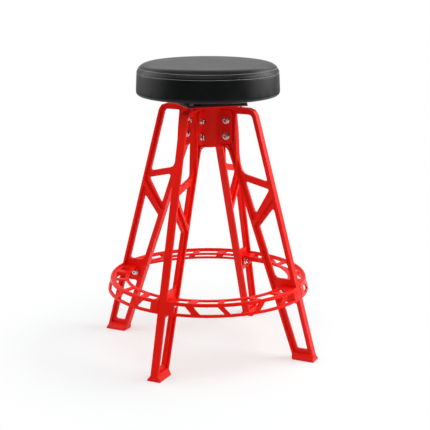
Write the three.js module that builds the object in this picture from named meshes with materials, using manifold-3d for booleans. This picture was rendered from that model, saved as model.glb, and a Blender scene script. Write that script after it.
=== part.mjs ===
import * as THREE from 'three';
import { mergeVertices } from 'three/addons/utils/BufferGeometryUtils.js';
import Module from 'manifold-3d';

// Round swivel bar stool on four cast lattice legs with a foot ring.
// Millimetres, +Z up. The origin is on the floor under the swivel axis, and the legs lie on the X and Y axes.

// Fits
const seatGap = 0.3; // left between pieces that touch
const overrun = 3; // how far a cutting shape passes the faces that it cuts

// Heights
const armTop = 649.2; // top of the leg arms
const hubHeight = 103.2; // height of the leg arms at the hub
const plateLift = 4.8; // of the hub's top above the leg arms
const swivelHeight = 24.4;
const seatHeight = 81.6; // from the cover's bottom edge to its crown

// Leg casting: a thin web with a rim on both sides
const legWidth = 21;
const webThickness = 8;
const rimThickness = 6;
const kneeReach = 134.2; // outer face produced to the arm's top
const footReach = 310.7; // outer face at the floor
const footLength = 58.4; // from the outer face to the inner one, at the floor
const throatReach = 60.1; // inner face at the arm's underside
const kneeRound = 24;
const throatRound = 15;
const webStart = 26; // inner end of the web, inside the hub
const hubRibSetback = 17.6; // from the throat to the middle of the upright rib at the arm's top
const hubRibTail = 46; // how far below the arm's underside the rib runs into the inner rim
const hubRibThickness = 4.5;
const hubRibTopWidth = 9; // across the leg at the rib's top
const hubRibRise = 57; // over which it widens from there to the leg's width
const braceRibThickness = 10; // rib along the steep brace
const pocketBase = 18; // foot end of the lower pocket
const pocketRound = 3;

// Lattice of the leg: heights as shares of the height of the arm's top
const braceFootShare = 0.5305; // where the steep brace meets the inner face
const braceHeadShare = 0.6741; // where it meets the outer face
const armWindowInnerShare = 0.7378; // inner end of the arm window's base
const armWindowOuterShare = 0.7124;
const triangleInnerShare = 0.7086; // inner end of the triangle's top side
const triangleOuterShare = 0.6839;
const triangleTipShare = 0.5761;
const longWindowApexShare = 0.6131;
const longWindowShoulderShare = 0.5283;
const longWindowHeelShare = 0.336;
const longWindowBaseShare = 0.325;
const footWindowTopShare = 0.2311;
const footWindowBaseShare = 0.0424;

// Windows in the web, and their level margins from the leg's faces
const outerMargin = 14.3;
const innerMargin = 17;
const armWindowDrop = 16.2; // from the arm's top to the window's
const armWindowShoulderRound = 10;
const armWindowHeelRound = 18;
const longWindowHeelCut = 5; // how far the cut corner reaches along the base
const windowRound = 4.5;
const windowLedge = 0.6; // web left beside the upright rib

// Foot block
const footWidth = 35.6;
const footSlab = 4;
const footFlareHeight = 13;

// Hub: four brackets that clamp the webs and make a barrel round the axis
const barrelRadius = 39.5;
const bracketThickness = 5;
const flangeEndGap = 2; // from the flange's end to the upright rib
const flangePocketGap = 1.6; // above and below the flange in its pocket
const flangeCornerCut = 7; // slanted corners at the flange's end
const bracketFillet = 8;
const hubBoltSetback = 16.5; // from the barrel to the bolts
const hubBoltDrops = [33.2, 74.2]; // below the arm's top

// Fasteners
const boltRadius = 4;
const holeClearance = 0.4;
const hubFlangeRadius = 10.2; // of the flange under a head or a nut
const hubHeadHeight = 8.5; // in all, from the flange's seat
const ringFlangeRadius = 8.8;
const ringHeadHeight = 7;
const headShare = 0.66; // radius of the cap on the flange
const headFlange = 1.7;
const headEdge = 1; // slanted edge round the cap's end
const socketRadius = 3.5;
const socketDepth = 3;
const nutBoreDepth = 3;
const screwRadius = 2.5;
const screwHeadRadius = 5.2;
const screwHeadHeight = 3;
const screwSocketRadius = 2;
const screwSocketDepth = 1.6;

// Foot ring: four L-section segments
const ringTopShare = 0.3007; // height of the ring's top as a share of the arm's top
const ringHeight = 32.7;
const ringProud = 1.9; // how far its top edge stands outside the legs
const ringWallSpread = 8; // how much wider the wall is at its base
const ringWidth = 46.9; // of the flat flange, with its rim
const ringLipWidth = 5; // raised edge round the outside of the flat flange
const ringLipSlope = 1.2; // how far that edge spreads where it comes down
const ringLipDrop = 3.1; // from its top to the flat flange
const ringFlangeThickness = 4;
const ringWallThickness = 5.5;
const ringRimWidth = 7;
const ringRimDepth = 5.2;
const ringWallWindowTopMargin = 7.7; // above the windows in the upright wall
const ringWallWindowBaseMargin = 6.3;
const ringTopWindowMargin = 12.6; // left outside the windows in the flat flange
const ringRimLedge = 1.2; // left between those windows and the inner rim
const ringEndAngle = THREE.MathUtils.degToRad(7.2);
const ringBarAngles = [17.4, 34.8].map(THREE.MathUtils.degToRad);
const ringBarHalfAngles = [2.25, 1.75].map(THREE.MathUtils.degToRad);
const ringBarLean = THREE.MathUtils.degToRad(1.9); // half of a bar's lean over the wall's windows
const ringBarSweep = THREE.MathUtils.degToRad(2.4); // a bar's lean over the flat flange
const ringTabDepth = 51.5; // from the ring's outer edge to the tab's inner end
const ringTabThickness = 5;
const ringTabHang = 1.5; // below the ring
const ringTabRound = 6;
const ringGussetThickness = 5;
const ringGussetDepth = 27.5; // from the ring's outer edge
const ringBoltDepth = 40; // from the ring's outer edge
const ringBoltDrop = 19.7; // below the ring's top

// Square plates between the legs and the seat
const topPlateSide = 163;
const topPlateThickness = 3;
const swivelPlateInset = 1; // edge of the swivel's plates behind the top plate's
const swivelSheet = 4;
const plateRound = 7;
const swivelScrewInset = 19.85; // from the plate's corner on the diagonal
const swivelScrewDepth = 8; // thread length in the leg arm
const seatScrewDepth = 9; // thread length in the seat board

// Swivel bearing
const dishRadius = 62; // inside the square plates
const dishSlope = 6;
const dishWall = 6;
const raceRadius = 47;
const ballRadius = 4;
const ballCount = 12;
const raceGap = 0.5;
const dishSpacing = 4.4; // between the two dished plates
const cageThickness = 1.6;
const cageWidth = 10;
const rivetRadius = 6.7;
const rivetHeadRadius = 12;
const rivetHeadThickness = 2.4;

// Seat
const seatRadius = 184.1; // widest, just above the bottom edge
const seamInset = 2.3; // of the lower seam from the widest place
const upperSeamInset = 8.5;
const upperSeamDrop = 13.4; // below the crown
const bandHeight = 13.1; // between the two seams
const seamDepth = 0.8;
const bandSwell = 1.2; // how far the band between the seams swells
const seamHalfWidth = 1.3;
const crownDrop = 1.5;
const edgePowerShare = 14; // how late the top falls off towards its edge
const seatBottomRound = 13.5;
const coverThickness = 1.6;
const flapWidth = 34.1; // of the cover turned in under the board
const boardThickness = 12;
const boardInset = 1; // board edge behind the cover

// Facets
const seatFacets = 36;
const hiddenFacets = 24; // round pieces inside the swivel and the seat
const ringFacets = 56;
const boltFacets = 12;
const smallFacets = 8;

const wasm = await Module();
wasm.setup();

// Turns a closed three.js geometry into a solid that can be cut and joined.
function solid(geometry) {
  const bare = geometry.index ? geometry.toNonIndexed() : geometry.clone();
  bare.deleteAttribute('normal');
  bare.deleteAttribute('uv');
  const merged = mergeVertices(bare);
  return new wasm.Manifold(new wasm.Mesh({
    numProp: 3,
    vertProperties: new Float32Array(merged.attributes.position.array),
    triVerts: new Uint32Array(merged.index.array),
  }));
}

function geometryOf(body) {
  const mesh = body.getMesh();
  const geometry = new THREE.BufferGeometry();
  geometry.setAttribute('position', new THREE.BufferAttribute(mesh.vertProperties, 3));
  geometry.setIndex(new THREE.BufferAttribute(mesh.triVerts, 1));
  geometry.computeVertexNormals();
  return geometry;
}

// Outline from [x, y, round] corners; a corner with a round becomes an arc.
function roundedOutline(corners) {
  const points = [];
  corners.forEach(([x, y, round = 0], i) => {
    const here = new THREE.Vector2(x, y);
    if (round === 0) {
      points.push(here);
      return;
    }
    const [lastX, lastY] = corners[(i + corners.length - 1) % corners.length];
    const [nextX, nextY] = corners[(i + 1) % corners.length];
    const back = new THREE.Vector2(lastX, lastY).sub(here).normalize();
    const ahead = new THREE.Vector2(nextX, nextY).sub(here).normalize();
    const half = Math.acos(THREE.MathUtils.clamp(back.dot(ahead), -1, 1)) / 2;
    const centre = back.clone().add(ahead).normalize().multiplyScalar(round / Math.sin(half)).add(here);
    const start = back.multiplyScalar(round / Math.tan(half)).add(here).sub(centre);
    const end = ahead.multiplyScalar(round / Math.tan(half)).add(here).sub(centre);
    const turn = Math.atan2(start.cross(end), start.dot(end));
    const steps = Math.max(2, Math.round(Math.abs(turn) / (Math.PI / 6)));
    for (let step = 0; step <= steps; step += 1) {
      points.push(start.clone().rotateAround(new THREE.Vector2(), (turn * step) / steps).add(centre));
    }
  });
  return points;
}

// Slab with an outline in the XY plane, between two heights.
function flatSlab(outline, low, high) {
  const shape = new THREE.Shape(outline);
  const geometry = new THREE.ExtrudeGeometry(shape, { depth: high - low, bevelEnabled: false });
  return solid(geometry.translate(0, 0, low));
}

// Slab with an outline in the XZ plane, between two places on Y.
function uprightSlab(outline, low, high) {
  const shape = new THREE.Shape(outline);
  const geometry = new THREE.ExtrudeGeometry(shape, { depth: high - low, bevelEnabled: false });
  return solid(geometry.rotateX(Math.PI / 2).translate(0, high, 0));
}

// Round body about the Z axis from [radius, height] points.
function turned(profile, facets) {
  const points = profile.map(([radius, height]) => new THREE.Vector2(radius, height));
  return solid(new THREE.LatheGeometry(points, facets).rotateX(Math.PI / 2));
}

function rod(radius, low, high, facets = boltFacets) {
  return turned([[0, low], [radius, low], [radius, high], [0, high]], facets);
}

// Rod across a leg, along Y.
function crossRod(radius, reach, height) {
  const half = legWidth / 2 + overrun;
  return rod(radius, -half, half).rotate([90, 0, 0]).translate([reach, 0, height]);
}

function box(from, to) {
  const size = to.map((value, i) => value - from[i]);
  const centre = to.map((value, i) => (value + from[i]) / 2);
  return solid(new THREE.BoxGeometry(...size).translate(...centre));
}

function square(side, round) {
  const half = side / 2;
  const corners = [[-half, -half], [half, -half], [half, half], [-half, half]];
  return roundedOutline(corners.map((corner) => [...corner, round]));
}

// Heights that follow from the ones above
const hubBase = armTop - hubHeight;
const hubTop = armTop + plateLift;
const topPlateBase = hubTop + seatGap;
const topPlateTop = topPlateBase + topPlateThickness;
const swivelBase = topPlateTop + seatGap;
const swivelTop = swivelBase + swivelHeight;
const boardBase = swivelTop + seatGap;
const seatBase = boardBase - seatGap - coverThickness;
const seatTop = seatBase + seatHeight;
const upperSeam = seatTop - upperSeamDrop;
const lowerSeam = upperSeam - bandHeight;
const ringTop = armTop * ringTopShare;
const ringBase = ringTop - ringHeight;
const ringFlangeTop = ringTop - ringLipDrop;
const ringFlangeUnder = ringFlangeTop - ringFlangeThickness;
const ringTabBase = ringBase - ringTabHang;
const ringBoltHeight = ringTop - ringBoltDrop;
const hubBoltHeights = hubBoltDrops.map((drop) => armTop - drop);

// Leg faces: straight lines in the leg's own plane
const heelReach = footReach - footLength;
const outerSlope = (footReach - kneeReach) / armTop;
const innerSlope = (heelReach - throatReach) / hubBase;
const outerFace = (height) => footReach - outerSlope * height;
const innerFace = (height) => heelReach - innerSlope * height;
const outerRim = rimThickness * Math.hypot(1, outerSlope); // rim measured level
const innerRim = rimThickness * Math.hypot(1, innerSlope);

// Foot ring, whose top edge follows the legs' outer faces
const ringTopRadius = outerFace(ringTop) + ringProud;
const ringBaseRadius = ringTopRadius + ringWallSpread;
const ringLipRadius = ringTopRadius - ringLipWidth - ringLipSlope;
const ringInnerRadius = ringTopRadius - ringWidth;
const ringTabStart = ringTopRadius - ringTabDepth;
const ringGussetStart = ringTopRadius - ringGussetDepth;
const ringBoltReach = ringTopRadius - ringBoltDepth;

// Square plates: their corners lie over the legs
const swivelPlateSide = topPlateSide - swivelPlateInset * 2;
const swivelScrewReach = swivelPlateSide / Math.SQRT2 - swivelScrewInset;

// Hub sizes that the legs and the brackets share
const hubRibReach = throatReach + hubRibSetback;
const hubRibFootHeight = hubBase - hubRibTail;
const hubBoltReach = barrelRadius + hubBoltSetback;
const pocketHalf = webThickness / 2;
const flangeInside = pocketHalf + seatGap;
const flangeOutside = flangeInside + bracketThickness;
const pocketTop = armTop - rimThickness;
const hubPocketBase = hubBase + rimThickness;
const ribLeft = hubRibReach - hubRibThickness / 2;
const ribRight = hubRibReach + hubRibThickness / 2;
const rimStart = barrelRadius + seatGap;

// Point where two lines cross, each given by two [reach, height] points.
function crossing([[ax, ay], [bx, by]], [[cx, cy], [dx, dy]]) {
  const along = [bx - ax, by - ay];
  const other = [dx - cx, dy - cy];
  const share = ((cx - ax) * other[1] - (cy - ay) * other[0]) / (along[0] * other[1] - along[1] * other[0]);
  return [ax + along[0] * share, ay + along[1] * share];
}

function faceLine(face, margin) {
  return [[face(0) + margin, 0], [face(armTop) + margin, armTop]];
}

const innerRimLine = faceLine(innerFace, innerRim);
const outerRimLine = faceLine(outerFace, -outerRim);

// The upright rib beside the hub, and its other side at a level distance.
const ribTip = [innerFace(hubRibFootHeight) + innerRim, hubRibFootHeight];
const ribSide = (away) => [[ribLeft + away, pocketTop], [ribTip[0] + away, ribTip[1]]];

// Outline over the upright rib that reaches into the pockets on both its sides.
function ribCover() {
  return roundedOutline([
    [ribRight + overrun, pocketTop],
    [ribLeft - overrun, pocketTop],
    ribTip,
    crossing(ribSide(hubRibThickness), innerRimLine),
  ]);
}

// What is cut off one side of the upright rib, so that it thins towards the arm's top.
function ribTaper(half) {
  const above = roundedOutline([
    [hubRibTopWidth / 2, pocketTop],
    [half, pocketTop - hubRibRise],
    [half + overrun, pocketTop - hubRibRise],
    [half + overrun, pocketTop],
  ]);
  const wedge = uprightSlab(above, -ribRight - overrun, 0).rotate([0, 0, 90]);
  return wedge.intersect(uprightSlab(ribCover(), 0, half + overrun));
}

// A side of the steep brace's rib, which runs from the inner face up to the outer face.
function braceSide(aside) {
  const footHeight = armTop * braceFootShare;
  const headHeight = armTop * braceHeadShare;
  const foot = [innerFace(footHeight), footHeight];
  const head = [outerFace(headHeight), headHeight];
  const length = Math.hypot(head[0] - foot[0], head[1] - foot[1]);
  const shift = [(-aside * (head[1] - foot[1])) / length, (aside * (head[0] - foot[0])) / length];
  return [foot, head].map(([reach, height]) => [reach + shift[0], height + shift[1]]);
}

function legOutline(start) {
  return roundedOutline([
    [start, hubBase],
    [throatReach, hubBase, throatRound],
    [heelReach, 0],
    [footReach, 0],
    [kneeReach, armTop, kneeRound],
    [start, armTop],
  ]);
}

function hubPocket() {
  return roundedOutline([
    [rimStart - overrun, hubPocketBase],
    [innerFace(hubPocketBase) + innerRim, hubPocketBase, throatRound - rimThickness],
    ribTip,
    [ribLeft, pocketTop],
    [rimStart - overrun, pocketTop],
  ]);
}

function upperPocket() {
  const side = braceSide(braceRibThickness / 2);
  return roundedOutline([
    [ribRight, pocketTop],
    crossing(ribSide(hubRibThickness), innerRimLine),
    [...crossing(side, innerRimLine), pocketRound],
    [...crossing(side, outerRimLine), pocketRound],
    [outerFace(pocketTop) - outerRim, pocketTop, kneeRound - rimThickness],
  ]);
}

function lowerPocket() {
  const side = braceSide(-braceRibThickness / 2);
  return roundedOutline([
    [...crossing(side, outerRimLine), pocketRound],
    [...crossing(side, innerRimLine), pocketRound],
    [innerFace(pocketBase) + innerRim, pocketBase, pocketRound],
    [outerFace(pocketBase) - outerRim, pocketBase, pocketRound],
  ]);
}

// A window's corner on its inner or outer side, at a share of the arm's height.
function windowCorner(face, margin, share, round = windowRound) {
  const height = armTop * share;
  return [face(height) + margin, height, round];
}

function legWindows() {
  const inside = (share, round) => windowCorner(innerFace, innerMargin, share, round);
  const outside = (share, round) => windowCorner(outerFace, -outerMargin, share, round);
  const ribEdge = ribSide(hubRibThickness + windowLedge);
  const armWindowTop = armTop - armWindowDrop;
  const arm = [
    [...crossing(ribEdge, [[0, armWindowTop], [kneeReach, armWindowTop]]), pocketRound],
    crossing(ribEdge, faceLine(innerFace, innerMargin)),
    inside(armWindowInnerShare, armWindowHeelRound),
    outside(armWindowOuterShare),
    outside(armWindowTop / armTop, armWindowShoulderRound),
  ];
  const triangle = [
    inside(triangleInnerShare),
    inside(triangleTipShare),
    outside(triangleOuterShare),
  ];
  const [heelBase, height, round] = inside(longWindowBaseShare);
  const long = [
    outside(longWindowApexShare),
    inside(longWindowShoulderShare),
    inside(longWindowHeelShare),
    [heelBase + longWindowHeelCut, height, round],
    outside(longWindowBaseShare),
  ];
  const foot = [
    inside(footWindowTopShare),
    inside(footWindowBaseShare),
    outside(footWindowBaseShare),
    outside(footWindowTopShare),
  ];
  return [arm, triangle, long, foot].map(roundedOutline);
}

// The foot spreads sideways into a block over its last few millimetres.
function footBlock() {
  const half = footWidth / 2;
  const section = [
    [-half, 0], [half, 0], [half, footSlab], [legWidth / 2, footFlareHeight],
    [-legWidth / 2, footFlareHeight], [-half, footSlab],
  ];
  const shape = new THREE.Shape(section.map(([x, y]) => new THREE.Vector2(x, y)));
  const flare = new THREE.ExtrudeGeometry(shape, { depth: footReach, bevelEnabled: false });
  flare.rotateX(Math.PI / 2).rotateZ(Math.PI / 2);
  return uprightSlab(legOutline(webStart), -half, half).intersect(solid(flare));
}

function legCasting() {
  const half = legWidth / 2;
  let leg = uprightSlab(legOutline(rimStart), -half, half);
  for (const pocket of [hubPocket(), upperPocket(), lowerPocket()]) {
    leg = leg.subtract(uprightSlab(pocket, pocketHalf, half + overrun));
    leg = leg.subtract(uprightSlab(pocket, -half - overrun, -pocketHalf));
  }
  const taper = ribTaper(half);
  leg = leg.subtract(taper).subtract(taper.mirror([0, 1, 0]));
  leg = leg.add(box([webStart, -pocketHalf, hubBase], [rimStart + rimThickness, pocketHalf, armTop]));
  leg = leg.add(box([webStart, -pocketHalf, armTop - overrun], [barrelRadius, pocketHalf, hubTop]));
  for (const window of legWindows()) {
    leg = leg.subtract(uprightSlab(window, -half - overrun, half + overrun));
  }
  for (const height of hubBoltHeights) {
    leg = leg.subtract(crossRod(boltRadius + holeClearance, hubBoltReach, height));
  }
  leg = leg.subtract(crossRod(boltRadius + holeClearance, ringBoltReach, ringBoltHeight));
  const holeEnd = armTop - swivelScrewDepth - seatGap;
  const screwHole = rod(screwRadius + seatGap, holeEnd, armTop + overrun, smallFacets);
  leg = leg.subtract(screwHole.translate([swivelScrewReach, 0, 0]));
  return leg.add(footBlock());
}

// One bracket fills the corner between the legs on +X and +Y.
function hubBracket() {
  const insideRadius = barrelRadius - bracketThickness;
  const flangeEnd = ribLeft - flangeEndGap;
  const arc = (radius, from, to) => [0, 1, 2, 3, 4].map((step) => {
    const angle = from + ((to - from) * step) / 4;
    return [radius * Math.cos(angle), radius * Math.sin(angle)];
  });
  const outsideMeet = Math.sqrt(barrelRadius ** 2 - flangeOutside ** 2);
  const insideMeet = Math.sqrt(insideRadius ** 2 - flangeInside ** 2);
  const arcStart = Math.PI / 7;
  const arcEnd = Math.PI / 2 - arcStart;
  const plan = roundedOutline([
    [flangeEnd, flangeInside],
    [flangeEnd, flangeOutside],
    [outsideMeet, flangeOutside, bracketFillet],
    ...arc(barrelRadius, arcStart, arcEnd),
    [flangeOutside, outsideMeet, bracketFillet],
    [flangeOutside, flangeEnd],
    [flangeInside, flangeEnd],
    [flangeInside, insideMeet],
    ...arc(insideRadius, arcEnd, arcStart),
    [insideMeet, flangeInside],
  ]);
  const low = hubPocketBase + flangePocketGap;
  const high = pocketTop - flangePocketGap;
  let bracket = flatSlab(plan, hubBase, hubTop);
  const outside = flangeEnd + overrun;
  const cutStart = flangeEnd - flangeCornerCut;
  const below = [
    [rimStart, hubBase - overrun], [outside, hubBase - overrun], [outside, low + flangeCornerCut],
    [flangeEnd, low + flangeCornerCut], [cutStart, low], [rimStart, low],
  ];
  const above = [
    [rimStart, hubTop + overrun], [rimStart, high], [cutStart, high],
    [flangeEnd, high - flangeCornerCut], [outside, high - flangeCornerCut], [outside, hubTop + overrun],
  ];
  for (const trim of [below, above]) {
    const cut = uprightSlab(roundedOutline(trim), 0, flangeOutside + overrun);
    bracket = bracket.subtract(cut).subtract(cut.mirror([1, -1, 0]));
  }
  const bolt = boltRadius + holeClearance;
  for (const height of hubBoltHeights) {
    const across = rod(bolt, -overrun, flangeOutside + overrun).rotate([-90, 0, 0]);
    bracket = bracket.subtract(across.translate([hubBoltReach, 0, height]));
    const along = rod(bolt, -overrun, flangeOutside + overrun).rotate([0, 90, 0]);
    bracket = bracket.subtract(along.translate([0, hubBoltReach, height]));
  }
  return bracket;
}

// Box bent round the Z axis: place gives [radius, angle, height] from three shares that run from 0 to 1.
function bentBox(place, steps) {
  const geometry = new THREE.BoxGeometry(1, 1, 1, 1, steps, 1).translate(0.5, 0.5, 0.5);
  const spots = geometry.attributes.position;
  for (let i = 0; i < spots.count; i += 1) {
    const [radius, angle, height] = place(spots.getX(i), spots.getY(i), spots.getZ(i));
    spots.setXYZ(i, radius * Math.cos(angle), radius * Math.sin(angle), height);
  }
  return solid(geometry);
}

// The bars between windows, as [middle angle, half angle, lean sign], from the leg on +X to the one on +Y.
const ringBars = [
  ...ringBarAngles.map((angle, i) => [angle, ringBarHalfAngles[i], 1]),
  ...ringBarAngles.map((angle, i) => [Math.PI / 2 - angle, ringBarHalfAngles[i], -1]).reverse(),
];

// Angle of a window's edge beside a bar, at a share of the way from the ring's top corner.
function barEdge(bar, side, lean) {
  if (!bar) {
    return side > 0 ? ringEndAngle : Math.PI / 2 - ringEndAngle;
  }
  const [middle, half, sign] = bar;
  return middle + side * half + sign * lean;
}

function ringSegment() {
  const wallInside = (height) => ringBaseRadius - ringWallThickness
    - ((ringBaseRadius - ringTopRadius) * (height - ringBase)) / (ringTop - ringBase);
  const section = [
    [ringTopRadius, ringTop],
    [ringTopRadius - ringLipWidth, ringTop],
    [ringLipRadius, ringFlangeTop],
    [ringInnerRadius, ringFlangeTop],
    [ringInnerRadius, ringFlangeTop - ringRimDepth],
    [ringInnerRadius + ringRimWidth, ringFlangeTop - ringRimDepth],
    [ringInnerRadius + ringRimWidth, ringFlangeUnder],
    [wallInside(ringFlangeUnder), ringFlangeUnder],
    [wallInside(ringBase), ringBase],
    [ringBaseRadius, ringBase],
    [ringTopRadius, ringTop],
  ];
  const side = legWidth / 2 + seatGap;
  const far = ringBaseRadius + overrun;
  const corner = box([side, side, ringBase - overrun], [far, far, ringTop + overrun]);
  let ring = turned(section, ringFacets).intersect(corner);
  const topInner = ringInnerRadius + ringRimWidth + ringRimLedge;
  const topOuter = ringTopRadius - ringTopWindowMargin;
  const wallWindowBase = ringBase + ringWallWindowBaseMargin;
  const wallWindowTop = ringTop - ringWallWindowTopMargin;
  for (let i = 0; i <= ringBars.length; i += 1) {
    const angleAt = (around, lean) => THREE.MathUtils.lerp(
      barEdge(ringBars[i - 1], 1, lean), barEdge(ringBars[i], -1, lean), around,
    );
    ring = ring.subtract(bentBox((across, around, up) => [
      THREE.MathUtils.lerp(topInner + ringRimWidth, ringBaseRadius + overrun * 2, across),
      angleAt(around, ringBarLean * (1 - up * 2)),
      THREE.MathUtils.lerp(wallWindowBase, wallWindowTop, up),
    ], 1));
    ring = ring.subtract(bentBox((across, around, up) => [
      THREE.MathUtils.lerp(topInner, topOuter, across),
      angleAt(around, ringBarSweep * (1 - across) - ringBarLean),
      THREE.MathUtils.lerp(ringFlangeUnder - overrun / 2, ringTop + overrun, up),
    ], 3));
  }
  return ring.add(ringEnd()).add(ringEnd().mirror([1, -1, 0]));
}

// End of a segment beside the leg on +X: a gusset across the section, a tab in the leg's pocket and the
// flat flange's way in to it.
function ringEnd() {
  const side = legWidth / 2 + seatGap;
  const wallMiddle = (height) => ringBaseRadius - ringWallThickness / 2
    - ((ringBaseRadius - ringTopRadius) * (height - ringBase)) / (ringTop - ringBase);
  const gusset = [
    [ringGussetStart, ringFlangeTop - ringFlangeThickness / 2],
    [ringGussetStart, ringTabBase + ringTabRound, ringTabRound],
    [wallMiddle(ringBase), ringBase],
    [wallMiddle(ringTop), ringFlangeTop - ringFlangeThickness / 2],
  ];
  const pocketFace = (height) => outerFace(height) - outerRim - seatGap;
  const tab = [
    [ringTabStart, ringTabBase, ringTabRound],
    [pocketFace(ringTabBase), ringTabBase, ringTabRound],
    [pocketFace(ringFlangeTop), ringFlangeTop, ringTabRound],
    [ringTabStart, ringFlangeTop, ringTabRound],
  ];
  const inPocket = uprightSlab(roundedOutline(tab), flangeInside, flangeInside + ringTabThickness);
  const bridge = uprightSlab(roundedOutline([
    [ringGussetStart, ringTabBase],
    [pocketFace(ringTabBase), ringTabBase, ringTabRound],
    [pocketFace(ringFlangeTop), ringFlangeTop, ringTabRound],
    [ringGussetStart, ringFlangeTop],
  ]), flangeInside, side + ringGussetThickness / 2);
  const across = uprightSlab(roundedOutline(gusset), side, side + ringGussetThickness);
  const plate = box(
    [ringTabStart + ringTabRound, side - ringTabThickness / 2, ringFlangeUnder],
    [ringGussetStart + overrun, side + ringGussetThickness / 2, ringFlangeTop],
  );
  const hole = crossRod(boltRadius + holeClearance, ringBoltReach, ringBoltHeight);
  return inPocket.add(bridge).add(across).add(plate).subtract(hole);
}

function socket(radius, top, depth) {
  return rod(radius, top - depth, top + overrun, 6);
}

// Round flange on the plane z = 0 with a cap that has a hexagon socket in its end.
function cap(flangeRadius, height) {
  const radius = flangeRadius * headShare;
  const body = turned([
    [0, 0], [flangeRadius, 0], [flangeRadius, headFlange], [radius, headFlange],
    [radius, height - headEdge], [radius - headEdge, height], [0, height],
  ], boltFacets);
  return body.subtract(socket(socketRadius, height, socketDepth));
}

// Bolt whose shank hangs below the plane z = 0.
function bolt(flangeRadius, height, length) {
  return cap(flangeRadius, height).add(rod(boltRadius, -length, headFlange, smallFacets));
}

// Cap nut, closed above its thread.
function capNut(flangeRadius, height) {
  const bore = rod(boltRadius + holeClearance, -overrun, nutBoreDepth, smallFacets);
  return cap(flangeRadius, height).subtract(bore);
}

function screw(length) {
  const head = rod(screwHeadRadius, 0, screwHeadHeight, smallFacets);
  const shank = rod(screwRadius, -length, screwHeadHeight / 2, smallFacets);
  return head.subtract(socket(screwSocketRadius, screwHeadHeight, screwSocketDepth)).add(shank);
}

const swivelMiddle = (swivelBase + swivelTop) / 2;
const swivelHalf = (swivelTop - swivelBase) / 2;

function topPlate() {
  const plate = flatSlab(square(topPlateSide, plateRound), topPlateBase, topPlateTop).rotate([0, 0, 45]);
  return cornerHoles(plate, topPlateBase, topPlateTop);
}

function cornerHoles(plate, low, high) {
  const hole = rod(screwRadius + seatGap, low - overrun, high + overrun, smallFacets);
  const places = [[1, 0], [0, 1], [-1, 0], [0, -1]];
  return places.reduce((body, [x, y]) => (
    body.subtract(hole.translate([x * swivelScrewReach, y * swivelScrewReach, 0]))
  ), plate);
}

// Lower swivel plate about the bearing's middle: a square sheet with a raised dish and a ball groove.
function swivelPlate() {
  const low = -swivelHalf;
  const sheetTop = low + swivelSheet;
  const dishTop = -dishSpacing / 2;
  const dishUnder = dishTop - dishWall;
  const groove = ballRadius + raceGap;
  const grooveEdge = Math.acos((dishSpacing / 2) / groove);
  const grooveArc = [-2, -1, 0, 1, 2].map((step) => {
    const angle = (grooveEdge * step) / 2;
    return [raceRadius + groove * Math.sin(angle), -groove * Math.cos(angle)];
  });
  const profile = [
    [rivetRadius + seatGap, dishUnder],
    [dishRadius - dishSlope * 2, dishUnder],
    [dishRadius - dishSlope, low],
    [dishRadius + dishSlope, low],
    [dishRadius + dishSlope, sheetTop],
    [dishRadius, sheetTop],
    [dishRadius - dishSlope, dishTop],
    ...grooveArc.reverse(),
    [rivetRadius + seatGap, dishTop],
    [rivetRadius + seatGap, dishUnder],
  ];
  const sheet = flatSlab(square(swivelPlateSide, plateRound), low, sheetTop).rotate([0, 0, 45]);
  const centre = rod(dishRadius, low - overrun, sheetTop + overrun, hiddenFacets);
  return cornerHoles(sheet.subtract(centre).add(turned(profile, hiddenFacets)), low, sheetTop);
}

function ballCage() {
  const inner = raceRadius - cageWidth / 2;
  const outer = raceRadius + cageWidth / 2;
  const half = cageThickness / 2;
  const ring = [[inner, -half], [outer, -half], [outer, half], [inner, half], [inner, -half]];
  let cage = turned(ring, hiddenFacets);
  for (let i = 0; i < ballCount; i += 1) {
    const angle = (i * Math.PI * 2) / ballCount;
    const ball = solid(new THREE.SphereGeometry(ballRadius, 6, 4).rotateX(Math.PI / 2));
    cage = cage.add(ball.translate([raceRadius * Math.cos(angle), raceRadius * Math.sin(angle), 0]));
  }
  return cage;
}

function centreRivet() {
  const reach = dishSpacing / 2 + dishWall + seatGap;
  const head = reach + rivetHeadThickness;
  return turned([
    [0, -head], [rivetHeadRadius, -head], [rivetHeadRadius, -reach], [rivetRadius, -reach],
    [rivetRadius, reach], [rivetHeadRadius, reach], [rivetHeadRadius, head], [0, head],
  ], boltFacets);
}

const seamRadius = seatRadius - seamInset;
const upperSeamRadius = seatRadius - upperSeamInset;
const flapReach = seatRadius - flapWidth;

// Height of the seat's top at a radius: a slight crown that rolls over towards the upper seam.
function crownHeight(radius) {
  const share = radius / upperSeamRadius;
  const edgeDrop = seatTop - upperSeam - crownDrop;
  return seatTop - crownDrop * share ** 2 - edgeDrop * share ** edgePowerShare;
}

const crownShares = [0.975, 0.94, 0.89, 0.82, 0.6];
const innerCrownShares = [0.95, 0.86, 0.6];

function arcPoints(centreRadius, centreHeight, round, from, to, steps) {
  return Array.from({ length: steps + 1 }, (_, step) => {
    const angle = THREE.MathUtils.degToRad(from + ((to - from) * step) / steps);
    return [centreRadius + round * Math.cos(angle), centreHeight + round * Math.sin(angle)];
  });
}

// Outside of the cover from the bottom edge up to the middle, with a groove at each seam.
function coverSurface() {
  return [
    ...arcPoints(seatRadius - seatBottomRound, seatBase + seatBottomRound, seatBottomRound, -90, 0, 3),
    [seamRadius, lowerSeam - seamHalfWidth],
    [seamRadius - seamDepth, lowerSeam],
    [seamRadius, lowerSeam + seamHalfWidth],
    [(seamRadius + upperSeamRadius) / 2 + bandSwell, (lowerSeam + upperSeam) / 2],
    [upperSeamRadius, upperSeam - seamHalfWidth],
    [upperSeamRadius - seamDepth, upperSeam],
    ...crownShares.map((share) => [upperSeamRadius * share, crownHeight(upperSeamRadius * share)]),
    [0, seatTop],
  ];
}

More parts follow.
